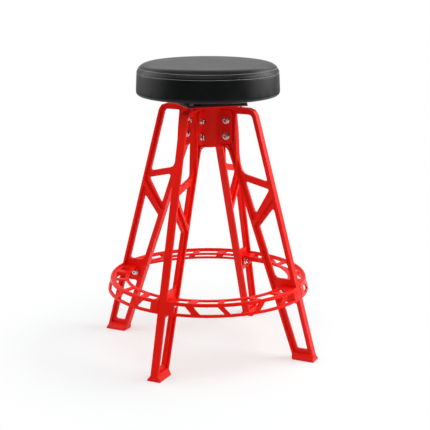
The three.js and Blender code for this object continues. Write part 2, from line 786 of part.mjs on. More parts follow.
// The same surface drawn in by an inset and without seams, for the inside of the cover and the foam.
function insideSurface(inset) {
  const round = seatBottomRound - inset;
  return [
    ...arcPoints(seatRadius - seatBottomRound, seatBase + seatBottomRound, round, -90, 0, 2),
    [seamRadius - inset, lowerSeam],
    [upperSeamRadius - inset, upperSeam - inset / 2],
    ...innerCrownShares.map((share) => [
      upperSeamRadius * share - inset / 2, crownHeight(upperSeamRadius * share) - inset,
    ]),
    [0, seatTop - inset],
  ];
}

function seatCover() {
  const outside = [[flapReach, seatBase], ...coverSurface()];
  const inside = [[flapReach, seatBase + coverThickness], ...insideSurface(coverThickness)].reverse();
  return turned([...outside, ...inside, outside[0]], seatFacets);
}

const boardRadius = seatRadius - seatBottomRound;

function seatBoard() {
  const edge = boardRadius - boardInset;
  const board = rod(edge, boardBase, boardBase + boardThickness, hiddenFacets);
  return cornerBlindHoles(board);
}

function cornerBlindHoles(board) {
  const holeEnd = boardBase + seatScrewDepth + seatGap;
  const hole = rod(screwRadius + seatGap, boardBase - overrun, holeEnd, smallFacets);
  const places = [[1, 0], [0, 1], [-1, 0], [0, -1]];
  return places.reduce((body, [x, y]) => (
    body.subtract(hole.translate([x * swivelScrewReach, y * swivelScrewReach, 0]))
  ), board);
}

function seatFoam() {
  const inset = coverThickness + seatGap;
  const low = boardBase + boardThickness + seatGap;
  const surface = insideSurface(inset).filter(([, height]) => height > low);
  return turned([[0, low], [seatRadius - inset - seatGap * 2, low], ...surface], seatFacets);
}

// Materials, one function each call so that every piece has its own.
const powderCoat = () => new THREE.MeshStandardMaterial({ color: 0xd81a10, roughness: 0.42, metalness: 0.1 });
const chrome = () => new THREE.MeshStandardMaterial({ color: 0xc9cbce, roughness: 0.18, metalness: 1 });
const blackSteel = () => new THREE.MeshStandardMaterial({ color: 0x141416, roughness: 0.5, metalness: 0.6 });
const brightSteel = () => new THREE.MeshStandardMaterial({ color: 0xa7a9ac, roughness: 0.35, metalness: 1 });
const vinyl = () => new THREE.MeshStandardMaterial({ color: 0x1b1b1d, roughness: 0.45, metalness: 0 });
const foamYellow = () => new THREE.MeshStandardMaterial({ color: 0xe6dcb4, roughness: 0.95, metalness: 0 });
const plywood = () => new THREE.MeshStandardMaterial({ color: 0xb98d5a, roughness: 0.7, metalness: 0 });

const stool = new THREE.Group();

function place(name, geometry, material, holder = stool) {
  const mesh = new THREE.Mesh(geometry, material);
  mesh.name = name;
  holder.add(mesh);
  return mesh;
}

// Group turned about the stool's axis by a number of quarter turns.
function quarter(turns) {
  const group = new THREE.Group();
  group.rotation.z = (turns * Math.PI) / 2;
  stool.add(group);
  return group;
}

const sides = ['right', 'back', 'left', 'front'];
const corners = ['back_right', 'back_left', 'front_left', 'front_right'];

const legGeometry = geometryOf(legCasting());
const bracketGeometry = geometryOf(hubBracket());
const ringGeometry = geometryOf(ringSegment());
const hubSeat = flangeOutside + seatGap; // where heads and nuts sit, from the leg's middle plane
const ringSeat = flangeInside + ringTabThickness + seatGap;
const hubShank = hubSeat * 2 + nutBoreDepth - seatGap;
const ringShank = ringSeat * 2 + nutBoreDepth - seatGap;
const hubBoltGeometry = geometryOf(bolt(hubFlangeRadius, hubHeadHeight, hubShank));
const hubNutGeometry = geometryOf(capNut(hubFlangeRadius, hubHeadHeight));
const ringBoltGeometry = geometryOf(bolt(ringFlangeRadius, ringHeadHeight, ringShank));
const ringNutGeometry = geometryOf(capNut(ringFlangeRadius, ringHeadHeight));
const screwSeat = swivelBase + swivelSheet + seatGap;
const lowerScrewGeometry = geometryOf(screw(screwSeat - armTop + swivelScrewDepth));
const seatScrewGeometry = geometryOf(screw(swivelSheet + seatGap * 2 + seatScrewDepth));

// A bolt head looks along +Y, away from the leg's middle plane, and its nut along -Y.
function boltThrough(group, names, geometries, [reach, height, seat]) {
  names.forEach((name, i) => {
    const sign = i === 0 ? 1 : -1;
    const mesh = place(name, geometries[i], chrome(), group);
    mesh.position.set(reach, sign * seat, height);
    mesh.rotation.x = (-sign * Math.PI) / 2;
  });
}

sides.forEach((side, i) => {
  const group = quarter(i);
  place(`leg_${side}`, legGeometry, powderCoat(), group);
  hubBoltHeights.forEach((height, row) => {
    const level = row === 0 ? 'upper' : 'lower';
    const names = [`hub_bolt_${side}_${level}`, `hub_nut_${side}_${level}`];
    boltThrough(group, names, [hubBoltGeometry, hubNutGeometry], [hubBoltReach, height, hubSeat]);
  });
  const ringNames = [`ring_bolt_${side}`, `ring_nut_${side}`];
  const ringSpot = [ringBoltReach, ringBoltHeight, ringSeat];
  boltThrough(group, ringNames, [ringBoltGeometry, ringNutGeometry], ringSpot);
  const lowerScrew = place(`swivel_screw_${side}`, lowerScrewGeometry, brightSteel(), group);
  lowerScrew.position.set(swivelScrewReach, 0, screwSeat);
  const seatScrew = place(`seat_screw_${side}`, seatScrewGeometry, brightSteel(), group);
  seatScrew.position.set(swivelScrewReach, 0, swivelTop - swivelSheet - seatGap);
  seatScrew.rotation.x = Math.PI;
});

corners.forEach((corner, i) => {
  const group = quarter(i);
  place(`hub_bracket_${corner}`, bracketGeometry, powderCoat(), group);
  place(`foot_ring_${corner}`, ringGeometry, powderCoat(), group);
});

place('top_plate', geometryOf(topPlate()), powderCoat());

const swivelGeometry = geometryOf(swivelPlate());
place('swivel_lower_plate', swivelGeometry, blackSteel()).position.z = swivelMiddle;
const upperPlate = place('swivel_upper_plate', swivelGeometry, blackSteel());
upperPlate.position.z = swivelMiddle;
upperPlate.rotation.x = Math.PI;
place('swivel_ball_cage', geometryOf(ballCage()), brightSteel()).position.z = swivelMiddle;
place('swivel_rivet', geometryOf(centreRivet()), brightSteel()).position.z = swivelMiddle;

place('seat_board', geometryOf(seatBoard()), plywood());
place('seat_foam', geometryOf(seatFoam()), foamYellow());
place('seat_cover', geometryOf(seatCover()), vinyl());

export default stool;
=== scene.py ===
"""Swivel bar stool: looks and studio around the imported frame.

Lengths are in metres, +Z is up, and the origin is on the floor under the swivel axis.
"""

import math

import bmesh
import bpy
from bpy.props import FloatProperty, FloatVectorProperty, IntProperty, PointerProperty
from mathutils import Matrix, Vector, noise


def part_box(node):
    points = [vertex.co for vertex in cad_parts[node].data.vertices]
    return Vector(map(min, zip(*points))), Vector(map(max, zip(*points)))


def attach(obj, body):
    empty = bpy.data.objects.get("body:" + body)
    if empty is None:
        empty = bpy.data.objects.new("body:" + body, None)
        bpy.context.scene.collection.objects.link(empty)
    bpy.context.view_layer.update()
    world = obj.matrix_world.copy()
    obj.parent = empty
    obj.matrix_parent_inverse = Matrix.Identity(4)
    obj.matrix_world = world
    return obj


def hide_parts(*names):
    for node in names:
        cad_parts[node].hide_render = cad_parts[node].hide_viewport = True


bl_info = {
    "name": "Swivel Bar Stool",
    "version": (1, 0, 0),
    "blender": (4, 5, 0),
    "location": "View3D > Sidebar > Stool",
    "description": "Dresses the stool's frame: cast legs, bolts, swivel, padded seat and studio",
    "category": "Object",
}

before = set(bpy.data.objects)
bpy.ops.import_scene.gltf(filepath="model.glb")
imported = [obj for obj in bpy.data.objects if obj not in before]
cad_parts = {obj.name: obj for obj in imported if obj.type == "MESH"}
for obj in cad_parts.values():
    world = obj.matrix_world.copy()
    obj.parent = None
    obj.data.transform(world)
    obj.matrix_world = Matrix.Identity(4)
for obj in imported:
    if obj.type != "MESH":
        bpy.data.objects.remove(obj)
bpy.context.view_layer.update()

MM = 0.001
TURN = math.tau
SIDES = ("right", "back", "left", "front")
CORNERS = ("back_right", "back_left", "front_left", "front_right")
TINY = 0.001 * MM  # vertices closer than this are one
WELD_REACH = 0.02 * MM  # corners of a CAD node's triangles closer than this are one
FLAT_ANGLE = math.radians(1.0)  # triangles that meet flatter than this are one face
EDGE_ANGLE = math.radians(30.0)  # an edge sharper than this is rounded


# ---- Colours and nodes


def linear(hex_colour):
    """Scene-linear red, green and blue of an sRGB hex value."""
    channels = [int(hex_colour[i : i + 2], 16) / 255 for i in (1, 3, 5)]
    return tuple(c / 12.92 if c <= 0.04045 else ((c + 0.055) / 1.055) ** 2.4 for c in channels)


def shade(colour, share):
    """RGBA of a linear colour, darkened or lightened by a share."""
    return (*(min(1.0, channel * share) for channel in colour), 1.0)


def add_node(tree, kind, settings=None, values=None, links=None):
    """Adds a node with its settings, its fixed inputs and its links from other nodes' outputs."""
    node = tree.nodes.new(kind)
    for name, value in (settings or {}).items():
        setattr(node, name, value)
    for socket, value in (values or {}).items():
        node.inputs[socket].default_value = value
    for socket, output in (links or {}).items():
        tree.links.new(output, node.inputs[socket])
    return node


def start_material(name):
    """New node material: its tree and the object coordinates that its patterns read, in metres."""
    material = bpy.data.materials.new(name)
    material.use_nodes = True
    tree = material.node_tree
    tree.nodes.clear()
    return material, tree, add_node(tree, "ShaderNodeTexCoord").outputs["Object"]


def finish_material(material, tree, fixed, linked):
    """Adds the shader with its fixed and linked inputs and joins it to the output."""
    shader = add_node(tree, "ShaderNodeBsdfPrincipled", values=fixed, links=linked)
    add_node(tree, "ShaderNodeOutputMaterial", links={"Surface": shader.outputs[0]})
    return material


def speckle(tree, place, size, detail=2.0):
    """Noise whose blotches are about one size across."""
    values = {"Scale": 1 / size, "Detail": detail}
    return add_node(tree, "ShaderNodeTexNoise", values=values, links={"Vector": place}).outputs["Fac"]


def spread(tree, value, low, high, from_low=0.3, from_high=0.7):
    """Maps a pattern's useful range to another range."""
    values = {"From Min": from_low, "From Max": from_high, "To Min": low, "To Max": high}
    return add_node(tree, "ShaderNodeMapRange", values=values, links={"Value": value}).outputs[0]


def blended(tree, share, low, high):
    """Colour that runs between two colours by a share."""
    node = add_node(tree, "ShaderNodeMix", settings={"data_type": "RGBA"}, links={0: share})
    node.inputs[6].default_value = low
    node.inputs[7].default_value = high
    return node.outputs[2]


def raised(tree, height, depth, under=None):
    """Bump of a real depth from a height pattern, laid over another bump if one is given."""
    links = {"Height": height}
    if under is not None:
        links["Normal"] = under
    return add_node(tree, "ShaderNodeBump", values={"Distance": depth}, links=links).outputs["Normal"]


# ---- Materials


def powder_coat(settings):
    """Polyester powder coat, sprayed and baked on sand castings.

    It flows out to a semi-gloss film: a fine orange peel over the faint waves of the casting.
    """
    material, tree, place = start_material("powder_coat_on_cast_metal")
    colour = tuple(settings.colour)
    cloudy = speckle(tree, place, 60 * MM)
    base = blended(tree, spread(tree, cloudy, 0.0, 1.0), shade(colour, 0.93), shade(colour, 1.05))
    peel = speckle(tree, place, settings.peel, detail=3.0)
    film = raised(tree, peel, 0.08 * MM)
    casting = speckle(tree, place, 14 * MM, detail=1.0)
    return finish_material(
        material,
        tree,
        {"Metallic": 0.0, "IOR": 1.5, "Specular IOR Level": 0.15},
        {
            "Base Color": base,
            "Roughness": spread(tree, peel, 0.28, 0.4),
            "Normal": raised(tree, casting, 0.12 * MM, under=film),
        },
    )


def bright_plate(settings):
    """Nickel-chrome plate on turned steel bolts: mirror-like, with the faint haze of polishing."""
    material, tree, place = start_material("chrome_plate_on_turned_steel")
    haze = speckle(tree, place, 0.8 * MM, detail=4.0)
    return finish_material(
        material,
        tree,
        {"Base Color": shade(tuple(settings.plate_colour), 1.0), "Metallic": 1.0},
        {"Roughness": spread(tree, haze, 0.07, 0.16), "Normal": raised(tree, haze, 0.01 * MM)},
    )


def zinc_plate():
    """Zinc plate on pressed steel: pale grey, with the soft mottle that the bath leaves."""
    material, tree, place = start_material("zinc_plate_on_pressed_steel")
    mottle = speckle(tree, place, 2.5 * MM, detail=4.0)
    colour = linear("#B4B6B9")
    tone = blended(tree, spread(tree, mottle, 0.0, 1.0), shade(colour, 0.85), shade(colour, 1.1))
    return finish_material(
        material,
        tree,
        {"Metallic": 1.0},
        {
            "Base Color": tone,
            "Roughness": spread(tree, mottle, 0.24, 0.4),
            "Normal": raised(tree, mottle, 0.02 * MM),
        },
    )


def black_lacquer(settings):
    """Black dip lacquer on pressed sheet steel: thin and satin, with a little dust."""
    material, tree, place = start_material("black_lacquer_on_sheet_steel")
    colour = tuple(settings.plate_colour)
    dust = speckle(tree, place, 18 * MM, detail=4.0)
    fine = speckle(tree, place, 1.2 * MM, detail=2.0)
    return finish_material(
        material,
        tree,
        {"Metallic": 0.0, "IOR": 1.5, "Specular IOR Level": 0.3},
        {
            "Base Color": blended(tree, spread(tree, dust, 0.0, 1.0), shade(colour, 0.8), shade(colour, 1.5)),
            "Roughness": spread(tree, dust, 0.36, 0.52),
            "Normal": raised(tree, fine, 0.02 * MM),
        },
    )


def vinyl_cloth(settings):
    """Coated upholstery vinyl, embossed with a fine leather grain: near black, satin.

    The real grain is about 1 mm across. It shows close to, and from a step away it only softens the gloss.
    """
    material, tree, place = start_material("embossed_upholstery_vinyl")
    colour = tuple(settings.vinyl_colour)
    cells = add_node(
        tree,
        "ShaderNodeTexVoronoi",
        settings={"feature": "DISTANCE_TO_EDGE"},
        values={"Scale": 1 / settings.grain, "Randomness": 1.0},
        links={"Vector": place},
    ).outputs["Distance"]
    creases = spread(tree, cells, 0.0, 1.0, 0.0, 0.12)
    broad = spread(tree, speckle(tree, place, 45 * MM, detail=1.0), 0.0, 1.0, 0.15, 0.85)
    tone = blended(tree, broad, shade(colour, 0.85), shade(colour, 1.2))
    wrinkle = raised(tree, speckle(tree, place, 9 * MM, detail=2.0), 0.05 * MM)
    return finish_material(
        material,
        tree,
        {"Metallic": 0.0, "IOR": 1.5, "Specular IOR Level": 0.2},
        {
            "Base Color": tone,
            "Roughness": spread(tree, broad, 0.27, 0.33, 0.0, 1.0),
            "Normal": raised(tree, creases, 0.03 * MM, under=wrinkle),
        },
    )


def sewing_thread(settings):
    """Bonded polyester thread, three twisted plies: pale grey, with a slight sheen."""
    material, tree, place = start_material("bonded_polyester_thread")
    colour = tuple(settings.thread_colour)
    twist = add_node(
        tree,
        "ShaderNodeTexWave",
        settings={"wave_type": "BANDS", "bands_direction": "DIAGONAL"},
        values={"Scale": 0.16 / (0.7 * MM), "Distortion": 0.5},
        links={"Vector": place},
    ).outputs["Fac"]
    # the bands are darker where the bump sinks between the plies: painted shade in the grooves of the twist
    return finish_material(
        material,
        tree,
        {"Metallic": 0.0, "IOR": 1.5, "Roughness": 0.5, "Sheen Weight": 0.2},
        {
            "Base Color": blended(tree, twist, shade(colour, 0.75), shade(colour, 1.05)),
            "Normal": raised(tree, twist, 0.08 * MM),
        },
    )


def seat_foam_block():
    """Cut polyurethane foam: cream, open cells about half a millimetre across."""
    material, tree, place = start_material("cut_polyurethane_foam")
    cells = add_node(
        tree, "ShaderNodeTexVoronoi", values={"Scale": 1 / (0.6 * MM)}, links={"Vector": place}
    ).outputs["Distance"]
    colour = linear("#E6DCB4")
    # the colour is darker in the middle of each cell, where the bump sinks: painted shade in the open pores
    return finish_material(
        material,
        tree,
        {"Metallic": 0.0, "IOR": 1.5, "Roughness": 0.95},
        {
            "Base Color": blended(tree, cells, shade(colour, 0.75), shade(colour, 1.05)),
            "Normal": raised(tree, cells, 0.25 * MM),
        },
    )


def birch_plywood():
    """Rotary-cut birch plywood, sawn and left raw: pale, with long grain and fine pores.

    The grain runs along X, so the pattern is stretched that way.
    """
    material, tree, place = start_material("sawn_birch_plywood")
    squeeze = (1.0, 14.0, 14.0)
    stretched = add_node(
        tree, "ShaderNodeMapping", values={"Scale": squeeze}, links={"Vector": place}
    ).outputs["Vector"]
    figure = speckle(tree, stretched, 90 * MM, detail=6.0)
    pores = speckle(tree, stretched, 12 * MM, detail=2.0)
    late_wood, early_wood = shade(linear("#A87A48"), 1.0), shade(linear("#D2AE7C"), 1.0)
    tone = blended(tree, spread(tree, figure, 0.0, 1.0), late_wood, early_wood)
    return finish_material(
        material,
        tree,
        {"Metallic": 0.0, "IOR": 1.5},
        {
            "Base Color": tone,
            "Roughness": spread(tree, pores, 0.6, 0.85),
            "Normal": raised(tree, pores, 0.06 * MM),
        },
    )


# ---- Mesh helpers


def spun(profile, segments):
    """Round body about the Z axis from (radius, height) points."""
    bm = bmesh.new()
    verts = [bm.verts.new((radius, 0.0, height)) for radius, height in profile]
    edges = [bm.edges.new(pair) for pair in zip(verts, verts[1:])]
    bmesh.ops.spin(
        bm,
        geom=[*verts, *edges],
        cent=(0, 0, 0),
        axis=(0, 0, 1),
        dvec=(0, 0, 0),
        angle=TURN,
        steps=segments,
        use_merge=True,
    )
    close_up(bm)
    return bm


def close_up(bm):
    """Merges doubles and turns every face outwards."""
    bmesh.ops.remove_doubles(bm, verts=bm.verts[:], dist=TINY)
    bmesh.ops.recalc_face_normals(bm, faces=bm.faces[:])


def finish_piece(bm, name, material, body, smooth=35.0):
    """Makes the mesh an object that rides on a body, with its edges sharp past an angle in degrees."""
    mesh = bpy.data.meshes.new(name)
    bm.to_mesh(mesh)
    bm.free()
    mesh.materials.append(material)
    piece = bpy.data.objects.new(name, mesh)
    bpy.context.scene.collection.objects.link(piece)
    mesh.shade_smooth()
    mesh.set_sharp_from_angle(angle=math.radians(smooth))
    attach(piece, body)
    return piece


def dress_node(name, material, width):
    """Gives a CAD node its material and the small rounds of a real edge.

    Its loose triangles are joined into whole faces first, so that the rounds follow only real edges.
    """
    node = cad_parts[name]
    node.data.materials.clear()
    node.data.materials.append(material)
    weld = node.modifiers.new("weld", "WELD")
    weld.merge_threshold = WELD_REACH
    flat = node.modifiers.new("whole faces", "DECIMATE")
    flat.decimate_type = "DISSOLVE"
    flat.angle_limit = FLAT_ANGLE
    bevel = node.modifiers.new("edge rounds", "BEVEL")
    bevel.width = width
    bevel.segments = 2
    bevel.limit_method = "ANGLE"
    bevel.angle_limit = EDGE_ANGLE
    bevel.harden_normals = True
    node.data.shade_smooth()
    weighted = node.modifiers.new("flat faces", "WEIGHTED_NORMAL")
    weighted.keep_sharp = True


# ---- Castings


class CastingSettings(bpy.types.PropertyGroup):
    """Finish of the cast legs, hub brackets, foot ring and top plate."""

    colour: FloatVectorProperty(
        name="Coat colour",
        description="Colour of the powder coat",
        subtype="COLOR",
        size=3,
        min=0.0,
        max=1.0,
        default=linear("#EE180B"),
    )
    peel: FloatProperty(
        name="Orange peel",
        description="Size of the ripples in the coat",
        unit="LENGTH",
        min=0.2 * MM,
        max=5 * MM,
        default=1.8 * MM,
    )
    edge_round: FloatProperty(
        name="Edge round",
        description="Width of the rounds along cast edges",
        unit="LENGTH",
        min=0.1 * MM,
        max=3 * MM,
        default=0.9 * MM,
    )


class STOOL_OT_castings(bpy.types.Operator):
    """Coats the legs, hub brackets, foot ring and top plate and rounds their edges"""

    bl_idname = "stool.castings"
    bl_label = "Cast frame"

    def execute(self, context):
        settings = context.scene.stool_castings
        coat = powder_coat(settings)
        names = [f"leg_{side}" for side in SIDES]
        names += [f"{kind}_{corner}" for kind in ("hub_bracket", "foot_ring") for corner in CORNERS]
        for name in [*names, "top_plate"]:
            dress_node(name, coat, settings.edge_round)
        return {"FINISHED"}


# ---- Bolts and nuts


class BoltSettings(bpy.types.PropertyGroup):
    """Sizes and finish of the flanged cap bolts and nuts that clamp the frame."""

    plate_colour: FloatVectorProperty(
        name="Plate colour",
        description="Colour of the chrome plate",
        subtype="COLOR",
        size=3,
        min=0.0,
        max=1.0,
        default=linear("#D2D4D6"),
    )
    socket_width: FloatProperty(
        name="Socket width",
        description="Hexagon key size, across flats",
        unit="LENGTH",
        min=2 * MM,
        max=8 * MM,
        default=6 * MM,
    )
    socket_depth: FloatProperty(
        name="Socket depth",
        description="Depth of the hexagon socket",
        unit="LENGTH",
        min=1 * MM,
        max=5 * MM,
        default=3.4 * MM,
    )
    flange: FloatProperty(
        name="Flange thickness",
        description="Thickness of the flange under a head or a nut",
        unit="LENGTH",
        min=0.5 * MM,
        max=4 * MM,
        default=1.7 * MM,
    )
    segments: IntProperty(
        name="Segments",
        description="Sides of a round head, a multiple of six",
        min=12,
        max=96,
        default=48,
    )


CAP_SHARE = 0.74  # radius of a cap, as a share of its flange's
BOLT_RADIUS = 4 * MM  # M8
BOLT_SINK = 0.3 * MM  # gap from a head's seat to the top of its shank, which keeps the two shells apart


def rounded(reach, height, radius, steps=4):
    """Quarter round whose outer corner is at a reach and a height, from the top down to the side."""
    points = []
    for step in range(steps + 1):
        angle = TURN / 4 * step / steps
        points.append((reach - radius * (1 - math.sin(angle)), height - radius * (1 - math.cos(angle))))
    return points


def pan_profile(radius, height, steps=8):
    """Low domed head of a screw, from near its middle down to its seat."""
    edge = height * 0.4
    arc = []
    for step in range(1, steps + 1):
        angle = TURN / 4 * step / steps
        arc.append((radius * math.sin(angle), edge + (height - edge) * math.cos(angle)))
    return [*arc, (radius, 0.0), (0.0, 0.0)]


def cap_profile(flange_radius, height, flange):
    """Round cap on a thin flange, from the cap's top edge down to the flange's seat."""
    radius = flange_radius * CAP_SHARE
    top_round, inner_round, rim_round = 1.3 * MM, 0.5 * MM, 0.6 * MM
    return [
        *rounded(radius, height, top_round, 5),
        (radius, flange + inner_round),
        (radius + inner_round, flange),
        *rounded(flange_radius, flange, rim_round),
        (flange_radius, 0.0),
        (0.0, 0.0),
    ]


def socket_head(profile, socket_width, socket_depth, segments):
    """Head spun from its outside, on the plane z = 0, with a hexagon socket in its top."""
    corner = socket_width / math.sqrt(3)
    outside = [point for point in profile if point[0] > corner or point[1] == 0.0]
    bm = spun([(corner, outside[0][1]), *outside], segments)
    rim = [edge for edge in bm.edges if edge.is_boundary]
    for vert in {vert for edge in rim for vert in edge.verts}:
        angle = math.atan2(vert.co.y, vert.co.x)
        to_flat = (angle % (TURN / 6)) - TURN / 12
        reach = socket_width / 2 / math.cos(to_flat)
        vert.co.x, vert.co.y = reach * math.cos(angle), reach * math.sin(angle)
    floor = sink(bm, rim, -socket_depth)
    bmesh.ops.contextual_create(bm, geom=floor)
    bmesh.ops.recalc_face_normals(bm, faces=bm.faces[:])
    return bm


def sink(bm, rim, drop):
    """Extrudes an open rim along Z and gives the new rim's edges."""
    made = bmesh.ops.extrude_edge_only(bm, edges=rim)["geom"]
    verts = [item for item in made if isinstance(item, bmesh.types.BMVert)]
    bmesh.ops.translate(bm, verts=verts, vec=(0, 0, drop))
    return [item for item in made if isinstance(item, bmesh.types.BMEdge) and item.is_boundary]


class STOOL_OT_bolts(bpy.types.Operator):
    """Models the flanged cap bolts and nuts at the hub and at the foot ring"""

    bl_idname = "stool.bolts"
    bl_label = "Bolts and nuts"

    def execute(self, context):
        settings = context.scene.stool_bolts
        plate = bright_plate(settings)
        for turn, side in enumerate(SIDES):
            pairs = [(f"hub_bolt_{side}_{row}", f"hub_nut_{side}_{row}") for row in ("upper", "lower")]
            pairs.append((f"ring_bolt_{side}", f"ring_nut_{side}"))
            for bolt, nut in pairs:
                self.make(bolt, nut, turn, settings, plate)
        return {"FINISHED"}

    def make(self, bolt, nut, turn, settings, plate):
        """One bolt and its nut on the leg that is a number of quarter turns from +X."""
        quarter = Matrix.Rotation(TURN / 4 * turn, 4, "Z")
        to_plain = quarter.inverted()
        head_low, head_high = (to_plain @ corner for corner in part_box(bolt))
        nut_low, nut_high = (to_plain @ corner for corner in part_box(nut))
        radius = abs(nut_high.x - nut_low.x) / 2
        middle = (nut_low + nut_high) / 2
        seat = -max(nut_low.y, nut_high.y)
        nut_height = abs(nut_high.y - nut_low.y)
        head_height = max(head_low.y, head_high.y) - seat
        sizes = settings.socket_width, settings.socket_depth, settings.segments
        head = socket_head(cap_profile(radius, head_height, settings.flange), *sizes)
        past_nut = 3 * MM
        length = seat * 2 + past_nut
        shank = bmesh.ops.create_cone(
            head, cap_ends=True, segments=24, radius1=BOLT_RADIUS, radius2=BOLT_RADIUS, depth=length
        )
        bmesh.ops.translate(head, verts=shank["verts"], vec=(0, 0, -length / 2 - BOLT_SINK))
        self.stand(head, bolt, quarter, (middle.x, seat, middle.z), -1, plate)
        cap = socket_head(cap_profile(radius, nut_height, settings.flange), *sizes)
        self.stand(cap, nut, quarter, (middle.x, -seat, middle.z), 1, plate)

    def stand(self, bm, node, quarter, spot, sign, plate):
        """Stands a head on its leg's face and lets it take the place of the CAD node."""
        tip = Matrix.Rotation(sign * TURN / 4, 4, "X")
        bm.transform(quarter @ Matrix.Translation(spot) @ tip)
        piece = finish_piece(bm, f"{node}_plated", plate, "frame")
        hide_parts(node)


# ---- Swivel


class SwivelSettings(bpy.types.PropertyGroup):
    """Finish of the swivel and its screws."""

    plate_colour: FloatVectorProperty(
        name="Lacquer colour",
        description="Colour of the swivel's two pressed plates",
        subtype="COLOR",
        size=3,
        min=0.0,
        max=1.0,
        default=linear("#0D0D0E"),
    )
    ball_count: IntProperty(name="Balls", description="Balls in the race", min=6, max=24, default=12)
    ball_size: FloatProperty(
        name="Ball size",
        description="Diameter of a ball",
        unit="LENGTH",
        min=4 * MM,
        max=9 * MM,
        default=8 * MM,
    )
    race_radius: FloatProperty(
        name="Race radius",
        description="From the axis to the middle of the balls",
        unit="LENGTH",
        min=30 * MM,
        max=60 * MM,
        default=47 * MM,
    )


class STOOL_OT_swivel(bpy.types.Operator):
    """Lacquers the swivel's plates and models its balls, cage, rivet and screws"""

    bl_idname = "stool.swivel"
    bl_label = "Swivel"

    def execute(self, context):
        settings = context.scene.stool_swivel
        lacquer = black_lacquer(settings)
        zinc = zinc_plate()
        for name in ("swivel_lower_plate", "swivel_upper_plate"):
            dress_node(name, lacquer, 0.7 * MM)
        self.cage(settings, zinc)
        self.rivet(zinc)
        for side in SIDES:
            self.screw(f"swivel_screw_{side}", "frame", zinc, 1)
            self.screw(f"seat_screw_{side}", "seat", zinc, -1)
        return {"FINISHED"}

    def cage(self, settings, zinc):
        """Pressed ring that keeps the balls apart, with the balls in it."""
        low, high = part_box("swivel_ball_cage")
        middle = (low.z + high.z) / 2
        half = 0.8 * MM  # of the strip's thickness
        play = 0.1 * MM  # between a ball and its races
        inner, outer = 2 * settings.race_radius - high.x, high.x
        corners = [(inner, -half), (outer, -half), (outer, half), (inner, half), (inner, -half)]
        bm = spun(corners, 96)
        for i in range(settings.ball_count):
            angle = TURN * i / settings.ball_count
            spot = Vector((settings.race_radius * math.cos(angle), settings.race_radius * math.sin(angle), 0))
            bmesh.ops.create_uvsphere(
                bm,
                u_segments=24,
                v_segments=14,
                radius=settings.ball_size / 2 - play,
                matrix=Matrix.Translation(spot),
            )
        bmesh.ops.translate(bm, verts=bm.verts[:], vec=(0, 0, middle))
        piece = finish_piece(bm, "swivel_balls_in_cage", zinc, "ball_cage")
        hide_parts("swivel_ball_cage")

    def rivet(self, zinc):
        """Centre rivet with a formed head at each end."""
        low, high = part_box("swivel_rivet")
        radius = (high.x - low.x) / 2
        shank = 6.4 * MM
        head = 2.4 * MM
        lip = 0.9 * MM
        profile = [
            (0.0, low.z),
            (radius - lip, low.z),
            (radius, low.z + lip),
            (radius, low.z + head),
            (shank, low.z + head),
            (shank, high.z - head),
            (radius, high.z - head),
            (radius, high.z - lip),
            (radius - lip, high.z),
            (0.0, high.z),
        ]
        piece = finish_piece(spun(profile, 48), "swivel_rivet_formed", zinc, "seat")
        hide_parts("swivel_rivet")

    def screw(self, node, body, zinc, sign):
        """Pan-head screw with a hexagon socket; the head points up for sign 1 and down for -1."""
        low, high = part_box(node)
        middle = (low + high) / 2
        radius, height, shank_radius = 5.2 * MM, 3 * MM, 2.5 * MM
        socket_width, socket_depth = 3.4 * MM, 1.6 * MM
        head = socket_head(pan_profile(radius, height), socket_width, socket_depth, 36)
        length = high.z - low.z - height
        shank = bmesh.ops.create_cone(
            head, cap_ends=True, segments=16, radius1=shank_radius, radius2=shank_radius, depth=length
        )
        bmesh.ops.translate(head, verts=shank["verts"], vec=(0, 0, -length / 2))
        seat = high.z - height if sign > 0 else low.z + height
        flip = Matrix.Identity(4) if sign > 0 else Matrix.Rotation(TURN / 2, 4, "X")
        head.transform(Matrix.Translation((middle.x, middle.y, seat)) @ flip)
        piece = finish_piece(head, f"{node}_plated", zinc, body)
        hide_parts(node)


# ---- Seat


class SeatSettings(bpy.types.PropertyGroup):
    """Sizes and colours of the padded seat."""

    vinyl_colour: FloatVectorProperty(
        name="Vinyl colour",
        description="Colour of the cover",
        subtype="COLOR",
        size=3,
        min=0.0,
        max=1.0,
        default=linear("#0F0F10"),
    )
    thread_colour: FloatVectorProperty(
        name="Thread colour",
        description="Colour of the topstitching",
        subtype="COLOR",
        size=3,
        min=0.0,
        max=1.0,
        default=linear("#B9BABD"),
    )
    grain: FloatProperty(
        name="Grain",
        description="Size of the embossed leather grain",
        unit="LENGTH",
        min=0.3 * MM,
        max=4 * MM,
        default=1.1 * MM,
    )
    stitch: FloatProperty(
        name="Stitch pitch",
        description="From one stitch to the next",
        unit="LENGTH",
        min=2 * MM,
        max=12 * MM,
        default=5 * MM,
    )
    thread: FloatProperty(
        name="Thread thickness",
        description="Diameter of the sewing thread",
        unit="LENGTH",
        min=0.3 * MM,
        max=2 * MM,
        default=1.0 * MM,
    )
    puff: FloatProperty(
        name="Puff",
        description="How far the stuffed cover may swell between its seams",
        unit="LENGTH",
        min=0.0,
        max=8 * MM,
        default=1.6 * MM,
    )
    segments: IntProperty(
        name="Segments", description="Steps round the cover", min=48, max=256, default=192
    )


SEAT_RADIUS = 185.4 * MM
SEAM_RADIUS = 183.2 * MM
BAND_RADIUS = 178.0 * MM
LOWER_SEAM = 735.5 * MM
UPPER_SEAM = 747.8 * MM
SEAT_TOP = 762.0 * MM
SEAT_BASE = 680.4 * MM
EDGE_BASE = 677.6 * MM  # the stuffed edge hangs a little below the board
FLAP_REACH = 150.0 * MM  # from the axis to the stapled flap's inner edge
CORNER_ROUND = 10.0 * MM
CROWN_DROP = 1.5 * MM  # how far the crown falls from the middle before it rolls over
ROLL_POWER = 17  # the higher, the nearer to the seam the crown rolls over
COARSE = 12 * MM  # edges of the cover longer than this are cut before the cloth settles
SEAM_HOLD = 1.6 * MM  # the thread holds the cover this far to each side of a seam
SETTLE_FRAMES = 20


